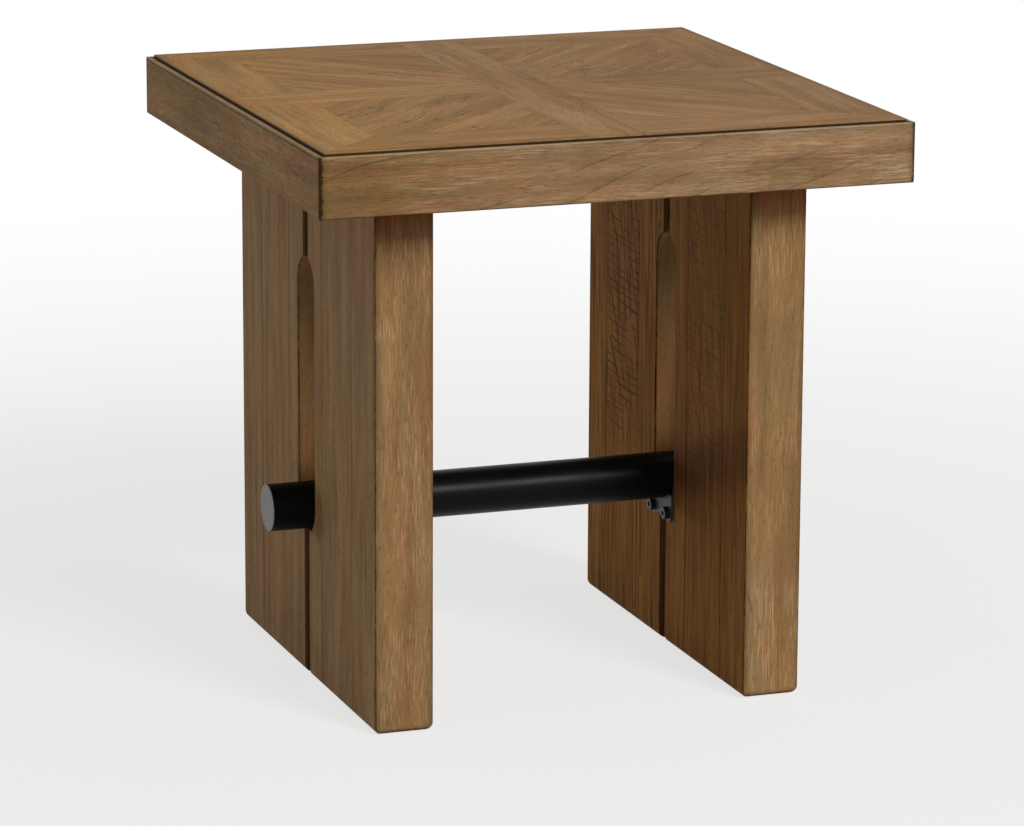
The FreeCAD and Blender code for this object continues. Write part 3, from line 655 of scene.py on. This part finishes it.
def stave_stain(tree, at, timbers):
    """A stave's stain, with painted light and shade in it: golden inner faces for shade and bounce light,
    paler lit slot walls, painted shade under the top, and the tube's painted shadow.
    """
    # Painted light and shade on the slot walls: the paler stain stands for the light that reaches them, and
    # it darkens towards the slot's upper end as painted shade.
    left = ramp(tree, at.parts["Z"], 240, 437, 1.15, 0.55)
    pale = add(tree, VECTOR, {0: tuple(timbers.painted_lit_slot_stain)[:3], "Scale": left}, operation="SCALE").outputs[0]
    walls = product(tree, ramp(tree, at.slot, 0.4, 0.9, 1, 0), ramp(tree, at.under_broad, 1, 3))
    groove = ramp(tree, at.middle, HALF_GROOVE + 0.4, HALF_GROOVE + 0.9, 0.6, 0)
    groove = product(tree, groove, at.beyond_slot)
    stain = timbers.leg_stain
    # The inner faces' golden layer is painted shade and bounce light.
    layers = ((at.on_inner, timbers.inner_bounce_shade_stain), (walls, pale), (groove, timbers.groove_stain))
    for share, layer in layers:
        stain = add(tree, MIX, {0: share, FIRST: stain, SECOND: layer}, data_type="RGBA").outputs[MIXED]
    # Painted shade: the legs' narrow faces turn darker and redder close under the top.
    painted_shade_under_top = product(tree, ramp(tree, at.parts["Z"], 480, 537), at.on_narrow)
    stain = tinge(tree, stain, painted_shade_under_top, (0.6, 0.29, 0.17, 1))
    # Painted shadow of the tube: a dark red-brown band on the inner faces that rises from beside the tube to
    # the front.
    band = distance_from(tree, plus_shares(tree, at.parts["Z"], (at.parts["Y"], 0.33)), SLOT_CENTRES[0])
    band = plus_shares(tree, band, (stretched_noise(tree, at.grain, (60, 25, 25)), 24))
    painted_tube_shadow = product(
        tree, ramp(tree, band, 20, 62, 1, 0), ramp(tree, at.parts["Y"], -10, 10, 1, 0),
        ramp(tree, at.parts["Y"], -260, -60, 0.6, 1), at.on_inner)
    return tinge(tree, stain, painted_tube_shadow, (0.52, 0.5, 0.95, 1))


def stave_marks(tree, at, node):
    """A stave's dark marks: cuts, plugs and long pores on the inner face, cracks on both broad faces."""
    # The saw marks are planed away towards the foot.
    planed = ramp(tree, at.parts["Z"], 120, 260, 0.1, 1)
    marks = product(tree, saw_marks(tree, at.grain), planed, ROUGH_STAVES.get(node, 0))
    if node.startswith("right"):
        marks = greatest(tree, marks, plug_marks(tree, at.parts))
    # The deep stain has also gathered in long pores, most on the back staves.
    pores = stretched_noise(tree, at.grain, (120, 5, 5), detail=3)
    pores = ramp(tree, pores, 0.46, 0.66, 0, 0.45 if "_front_" in node else 0.75)
    marks = product(tree, greatest(tree, marks, pores), at.on_inner)
    sparse = ramp(tree, stretched_noise(tree, at.grain, (200, 40, 40)), 0.42, 0.55)
    fine_cracks = product(tree, cracks(tree, at.grain, (500, 24, 24)), sparse, at.on_broad, 0.5)
    return greatest(tree, marks, fine_cracks)


class DressLegs(bpy.types.Operator):
    """Stains each stave of the legs, with saw marks, seams, glazed arrises and dark grooves"""
    bl_idname = "side_table.dress_legs"
    bl_label = "Dress legs"

    def execute(self, context):
        timbers = context.scene.table_timber
        for number, node in enumerate(sorted(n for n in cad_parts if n.endswith("_stave"))):
            material, tree = new_material(f"Brushed oak {node}")
            at = stave_places(tree, node)
            on_outer = product(tree, at.on_broad, ramp(tree, at.on_inner, 0, 1, 1, 0))
            fewer_above = ramp(tree, at.parts["Z"], 150, 380, 0.9, 0.2)
            timber(
                "Leg stave", at.grain, tree, Board=(number * 0.377) % 1, Pith=0, Figure=0.6,
                Ring=ramp(tree, at.under_narrow, *SKIN, 9, 26),
                Combing=ramp(tree, at.under_narrow, *SKIN, 0.9, 0.2),
                Stain=stave_stain(tree, at, timbers),
                Glaze=timbers.glaze,
                Glazed=stave_glaze(tree, at, timbers.glaze_reach / MM),
                Marked=stave_marks(tree, at, node),
                Scratched=product(tree, brush_scratches(tree, at.grain), on_outer, fewer_above))
            dress(node, material)

        # Dark stained strips, which the brush doesn't reach: even and red-brown, with soft rings.
        material, tree = new_material("Dark stained groove strip")
        timber(
            "Groove strip", grain_space(tree, 0, "ZYX"), tree, Board=0.2, Pith=30, Ring=5, Figure=0.4,
            Combing=0.1, Stain=timbers.groove_stain, Glaze=timbers.glaze, Glazed=0)
        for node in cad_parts:
            if node.endswith("_spacer"):
                dress(node, material)
        return {"FINISHED"}


def mottled_steel(name, size, dark, pale, roughness, **shader):
    """Steel under a thin cloudy skin, whose colour and roughness change over patches of a size in mm."""
    material, tree = new_material(name)
    cloud = stretched_noise(tree, table_place(tree), (size, size, size), detail=3)
    colour = add(tree, MIX, {0: cloud, FIRST: linear(dark), SECOND: linear(pale)}, data_type="RGBA")
    finish_surface(
        tree, Base_Color=colour.outputs[MIXED], Roughness=ramp(tree, cloud, 0.3, 0.7, *roughness), **shader)
    return material


class DressJoinery(bpy.types.Operator):
    """Finishes what is hidden under the top and inside the legs"""
    bl_idname = "side_table.dress_joinery"
    bl_label = "Dress hidden joinery"

    def execute(self, context):
        # Planed wood without stain or brushing: pale and matt, with wide rings in pine and close
        # ones in beech. Each has its colour, the axes of its grain, its rings' spacing and its pieces.
        plain = {
            "Planed pine": ("#A98660", "ZYX", 7, ("cleat", "corner_blocks")),
            "Planed beech": ("#B89470", "YXZ", 4, ("tenons", "splines")),
        }
        for name, (colour, order, ring, ends) in plain.items():
            material, tree = new_material(name)
            timber(
                name, grain_space(tree, 0, order), tree, Board=0.4, Pith=20, Ring=ring, Figure=0.4,
                Combing=0, Stain=linear(colour), Glaze=linear("#3A2A1C"), Glazed=0)
            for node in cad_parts:
                if node.endswith(ends):
                    dress(node, material)

        # Birch plywood: rotary-cut faces, and plies 1.4 mm thick that show as bands on the edge.
        ply_thickness = 1.4
        material, tree = new_material("Birch plywood")
        grain = grain_space(tree, 0, "XYZ")
        depth = add(tree, SPLIT, {0: grain}).outputs["Z"]
        bands = ramp(tree, sawtooth(tree, depth, ply_thickness * 2), 0.45, 0.55)
        timber(
            "Birch plywood", grain, tree, Board=0.7, Pith=6, Ring=14, Figure=0.4, Combing=0,
            Stain=linear("#B0936C"), Glaze=linear("#6E5438"),
            Glazed=product(tree, bands, ramp(tree, facing(tree, "Z"), 0.3, 0.6, 1, 0)))
        dress("core_panel", material)

        # Zinc plate: a bright bluish metal with faint cloudy spangles, dulled by handling.
        zinc = mottled_steel("Zinc-plated steel", 3, "#9FA3A6", "#C6C8C8", (0.28, 0.46), Metallic=1.0)
        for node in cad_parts:
            if node.endswith(("_lag_bolts", "_inserts")):
                dress(node, zinc)
        return {"FINISHED"}


def powder_coat(name, colour, roughness, gloss, face_colour=None):
    """Baked powder coat on steel: a matt skin with a fine orange peel, which softens every highlight."""
    material, tree = new_material(name)
    place = table_place(tree)
    # The peel's bumps are about 1 mm across and 0.03 mm high.
    peel = stretched_noise(tree, place, (1.1, 1.1, 1.1))
    bump = add(tree, "ShaderNodeBump", {"Height": peel, "Distance": 0.03 * MM, "Strength": 1})
    cloud = stretched_noise(tree, place, (60, 25, 25), detail=3)
    dark, pale = (tuple(part * level for part in colour) for level in (0.8, 1.2))
    coat = add(tree, MIX, {0: cloud, FIRST: dark, SECOND: pale}, data_type="RGBA").outputs[MIXED]
    if face_colour is not None:
        # The flat ends show fine marks of the saw that cut them.
        cut = ramp(tree, stretched_noise(tree, place, (1, 0.6, 0.6), detail=3), 0.3, 0.7, 0.93, 1.07)
        face = add(tree, VECTOR, {0: tuple(face_colour)[:3], "Scale": cut}, operation="SCALE").outputs[0]
        flat = ramp(tree, facing(tree, "X"), 0.6, 0.85)
        coat = add(tree, MIX, {0: flat, FIRST: coat, SECOND: face}, data_type="RGBA").outputs[MIXED]
    finish_surface(
        tree, Base_Color=coat, Normal=bump.outputs[0], Specular_IOR_Level=gloss,
        Roughness=ramp(tree, cloud, 0.3, 0.7, roughness - 0.04, roughness + 0.05))
    return material


class DressStretcher(bpy.types.Operator):
    """Powder-coats the stretcher tube, its end caps and its tabs"""
    bl_idname = "side_table.dress_stretcher"
    bl_label = "Dress stretcher"

    def execute(self, context):
        steel = context.scene.table_steel
        dress("stretcher_tube", powder_coat("Black powder-coated tube", steel.tube_colour, 0.36, 0.08))
        dress("tube_end_caps", powder_coat(
            "Powder-coated end cap", steel.tube_colour, 0.36, 0.08, face_colour=steel.cap_colour))
        dress("tube_tabs", powder_coat("Grey powder-coated tab", steel.tab_colour, 0.45, 0.2))
        return {"FINISHED"}


def ring_of(mesh, count, x, radius_at):
    """A ring of vertices square to the X axis, as far from it as radius_at says for each angle."""
    ring = []
    for k in range(count):
        angle = math.tau * k / count
        radius = radius_at(angle)
        ring.append(mesh.verts.new((x, radius * math.cos(angle), radius * math.sin(angle))))
    return ring


def socket_bolt(settings, length):
    """A socket-head bolt along +X, with its knurled head below the origin and a length of shank above."""
    chamfer = settings.head_chamfer
    count = settings.knurl_teeth * 4

    def hexagon(angle):
        sixth = math.tau / 6
        return settings.socket_flats / 2 / math.cos(angle % sixth - sixth / 2)

    def knurl(angle):
        wave = math.cos(angle * settings.knurl_teeth)
        return HEAD_RADIUS - KNURL_DEPTH * (1 - wave) / 2

    # Each ring's place along the bolt and its radius, from the socket's floor out and down to the tip.
    profile = (
        (-HEAD_HEIGHT + SOCKET_DEPTH, hexagon),
        (-HEAD_HEIGHT + EDGE_BREAK, hexagon),
        (-HEAD_HEIGHT, lambda angle: hexagon(angle) + EDGE_BREAK),
        (-HEAD_HEIGHT, lambda angle: HEAD_RADIUS - chamfer),
        (-HEAD_HEIGHT + chamfer * 0.6, lambda angle: HEAD_RADIUS - EDGE_BREAK),
        (-HEAD_HEIGHT + chamfer, knurl),
        (-SEAT_CHAMFER, knurl),
        (0, lambda angle: HEAD_RADIUS - SEAT_CHAMFER),
        (0, lambda angle: SHANK_RADIUS),
        (length - TIP_CHAMFER, lambda angle: SHANK_RADIUS),
        (length, lambda angle: SHANK_RADIUS - TIP_CHAMFER),
    )
    mesh = bmesh.new()
    rings = [ring_of(mesh, count, x, radius_at) for x, radius_at in profile]
    for first, second in zip(rings, rings[1:]):
        for k in range(count):
            after = (k + 1) % count
            mesh.faces.new((first[k], second[k], second[after], first[after]))
    mesh.faces.new(rings[0])
    mesh.faces.new(rings[-1][::-1])
    bmesh.ops.recalc_face_normals(mesh, faces=mesh.faces)
    data = bpy.data.meshes.new("socket_bolt")
    mesh.to_mesh(data)
    mesh.free()
    return bpy.data.objects.new("socket_bolt", data)


def bolt_pattern():
    """Geometry nodes that set a bolt at each corner of a rectangle, with its head towards the middle."""
    tree = bpy.data.node_groups.new("Bolts in two facing pairs", "GeometryNodeTree")
    inputs = {
        "Bolt": "NodeSocketObject",
        "Leg spacing": "NodeSocketFloat",
        "Bolt spacing": "NodeSocketFloat",
        "Height": "NodeSocketFloat",
        "Material": "NodeSocketMaterial",
    }
    for name, kind in inputs.items():
        tree.interface.new_socket(name, in_out="INPUT", socket_type=kind)
    tree.interface.new_socket("Geometry", in_out="OUTPUT", socket_type="NodeSocketGeometry")
    given = add(tree, "NodeGroupInput").outputs
    corners = add(tree, "GeometryNodeMeshGrid", {
        "Size X": given["Leg spacing"], "Size Y": given["Bolt spacing"], "Vertices X": 2, "Vertices Y": 2})
    lift = add(tree, JOIN, {"Z": given["Height"]})
    raised = add(tree, "GeometryNodeSetPosition", {
        "Geometry": corners.outputs[0], "Offset": lift.outputs[0]})
    place = add(tree, SPLIT, {0: add(tree, "GeometryNodeInputPosition").outputs[0]})
    left = add(tree, MATH, {0: place.outputs["X"], 1: 0.0}, operation="LESS_THAN")
    turn = add(tree, MATH, {0: left.outputs[0], 1: math.pi}, operation="MULTIPLY")
    spin = add(tree, JOIN, {"Z": turn.outputs[0]})
    bolt = add(tree, "GeometryNodeObjectInfo", {"Object": given["Bolt"], "As Instance": True})
    placed = add(tree, "GeometryNodeInstanceOnPoints", {
        "Points": raised.outputs[0], "Instance": bolt.outputs["Geometry"], "Rotation": spin.outputs[0]})
    real = add(tree, "GeometryNodeRealizeInstances", {0: placed.outputs[0]})
    coated = add(tree, "GeometryNodeSetMaterial", {
        "Geometry": real.outputs[0], "Material": given["Material"]})
    add(tree, "NodeGroupOutput", {0: coated.outputs[0]})
    return tree


class MakeTabBolts(bpy.types.Operator):
    """Makes the four knurled socket-head bolts that hold the tabs to the legs"""
    bl_idname = "side_table.make_tab_bolts"
    bl_label = "Make tab bolts"

    def execute(self, context):
        low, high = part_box("tab_bolts")
        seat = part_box("tube_tabs")[1].x - TAB_THICKNESS
        bolt = socket_bolt(context.scene.table_steel, high.x - seat)
        holder = bpy.data.objects.new("tab_bolts_detailed", bpy.data.meshes.new("tab_bolts_detailed"))
        context.scene.collection.objects.link(holder)
        modifier = holder.modifiers.new("Bolts", "NODES")
        modifier.node_group = bolt_pattern()
        values = {
            "Bolt": bolt,
            "Leg spacing": seat * 2,
            "Bolt spacing": BOLT_SPACING,
            "Height": (low.z + high.z) / 2,
            # Black oxide: a thin dark skin with a slight oily gloss.
            "Material": mottled_steel(
                "Black oxide bolt steel", 2, "#0D0D0D", "#1A1919", (0.3, 0.42), Specular_IOR_Level=0.3),
        }
        for item in modifier.node_group.interface.items_tree:
            if item.in_out == "INPUT":
                modifier[item.identifier] = values[item.name]
        context.view_layer.update()
        finished = bpy.data.meshes.new_from_object(holder.evaluated_get(context.evaluated_depsgraph_get()))
        holder.modifiers.clear()
        holder.data = finished
        bpy.data.objects.remove(bolt)
        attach(holder, BODY)
        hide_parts("tab_bolts")
        return {"FINISHED"}


def seen_rays(tree):
    """1 for what the eye sees, directly, mirrored or through glass, and 0 for the light on the table."""
    path = add(tree, "ShaderNodeLightPath").outputs
    return greatest(tree, path["Is Camera Ray"], path["Is Glossy Ray"], path["Is Transmission Ray"])


def studio_floor(stage):
    """A round floor of matt white paint, which fades into the white of the room away from the table."""
    mesh = bmesh.new()
    bmesh.ops.create_circle(
        mesh, cap_ends=True, segments=96, radius=FLOOR_RADIUS, matrix=Matrix.Translation((0, 0, -FLOOR_GAP)))
    data = bpy.data.meshes.new("studio_floor")
    mesh.to_mesh(data)
    mesh.free()
    material, tree = new_material("Matt white studio floor")
    place = add(tree, COORDINATES).outputs["Object"]
    away = add(tree, VECTOR, {0: place}, operation="LENGTH").outputs["Value"]
    far = ramp(tree, away, FADE_NEAR, FADE_FAR, stage.near_glow, 1)
    paint = add(tree, "ShaderNodeBsdfDiffuse", {"Color": stage.floor_colour})
    glow = add(tree, "ShaderNodeEmission", {"Color": WHITE, "Strength": 1})
    blend = add(tree, "ShaderNodeMixShader", {
        0: product(tree, far, seen_rays(tree)), 1: paint.outputs[0], 2: glow.outputs[0]})
    add(tree, "ShaderNodeOutputMaterial", {"Surface": blend.outputs[0]})
    data.materials.append(material)
    return bpy.data.objects.new("studio_floor", data)


def white_room(stage):
    """A world that is white where it is seen and lights the table evenly from all round."""
    world = bpy.data.worlds.new("White room")
    world.use_nodes = True
    tree = world.node_tree
    tree.nodes.clear()
    strength = ramp(tree, seen_rays(tree), 0, 1, stage.room_light, 1)
    sky = add(tree, "ShaderNodeBackground", {"Color": WHITE, "Strength": strength})
    add(tree, "ShaderNodeOutputWorld", {"Surface": sky.outputs[0]})
    return world


def soft_lamp(name, power, size, place, aim, warmth=(1, 1, 1)):
    """A rectangular lamp at a place, which faces a point."""
    data = bpy.data.lights.new(name, "AREA")
    data.energy = power
    data.shape = "RECTANGLE"
    data.size, data.size_y = size
    data.color = warmth
    made = bpy.data.objects.new(name, data)
    made.location = place
    made.rotation_mode = "QUATERNION"
    made.rotation_quaternion = (Vector(aim) - Vector(place)).to_track_quat("-Z", "Y")
    return made


def photograph_camera(lens):
    """The camera at the photograph's viewing angle."""
    data = bpy.data.cameras.new("photograph_view")
    data.lens = lens
    data.sensor_width = SENSOR_WIDTH
    camera = bpy.data.objects.new("photograph_view", data)
    level = Euler((math.pi / 2 - CAMERA_PITCH, 0, -CAMERA_YAW)).to_matrix().to_4x4()
    camera.matrix_world = Matrix.Translation(CAMERA_PLACE) @ level @ Matrix.Rotation(CAMERA_ROLL, 4, "Z")
    return camera


class MakeStage(bpy.types.Operator):
    """Sets the pale floor, the soft lamps, the room light and the camera"""
    bl_idname = "side_table.make_stage"
    bl_label = "Make stage"

    def execute(self, context):
        stage = context.scene.table_stage
        scene = context.scene
        scene.view_settings.view_transform = "Standard"
        scene.world = white_room(stage)
        scene.camera = photograph_camera(stage.lens)
        floor = studio_floor(stage)
        warm = (1, 0.985, 0.95)
        key = soft_lamp("key_lamp", stage.key_power, (2.1, 2.1), (2.0, -5.8, 4.4), (0, 0, 0.4), warm)
        side = soft_lamp("side_lamp", stage.side_power, (2.4, 0.7), (-4.2, 4.2, 0.45), (0, 0, 0.3))
        for made in (floor, key, side, scene.camera):
            scene.collection.objects.link(made)
        return {"FINISHED"}


STEPS = (DressParquet, DressEdgeBoards, DressLegs, DressJoinery, DressStretcher, MakeTabBolts, MakeStage)

SETTINGS = {
    "table_timber": TimberSettings,
    "table_steel": SteelSettings,
    "table_stage": StageSettings,
}


class SideTablePanel(bpy.types.Panel):
    """Lists the settings and steps of the side table"""
    bl_idname = "SIDE_TABLE_PT_steps"
    bl_label = "Side Table"
    bl_space_type = "VIEW_3D"
    bl_region_type = "UI"
    bl_category = "Side Table"

    def draw(self, context):
        for group in SETTINGS:
            settings = getattr(context.scene, group)
            box = self.layout.box()
            for name in settings.__annotations__:
                box.prop(settings, name)
        for step in STEPS:
            self.layout.operator(step.bl_idname)


def register():
    for name, settings_class in SETTINGS.items():
        bpy.utils.register_class(settings_class)
        setattr(bpy.types.Scene, name, PointerProperty(type=settings_class))
    for step in STEPS:
        bpy.utils.register_class(step)
    bpy.utils.register_class(SideTablePanel)


def unregister():
    bpy.utils.unregister_class(SideTablePanel)
    for step in reversed(STEPS):
        bpy.utils.unregister_class(step)
    for name, settings_class in SETTINGS.items():
        delattr(bpy.types.Scene, name)
        bpy.utils.unregister_class(settings_class)


def main():
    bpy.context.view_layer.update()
    register()
    timber_group()
    for step in STEPS:
        family, _, name = step.bl_idname.partition(".")
        getattr(getattr(bpy.ops, family), name)()


if __name__ == "__main__":
    main()
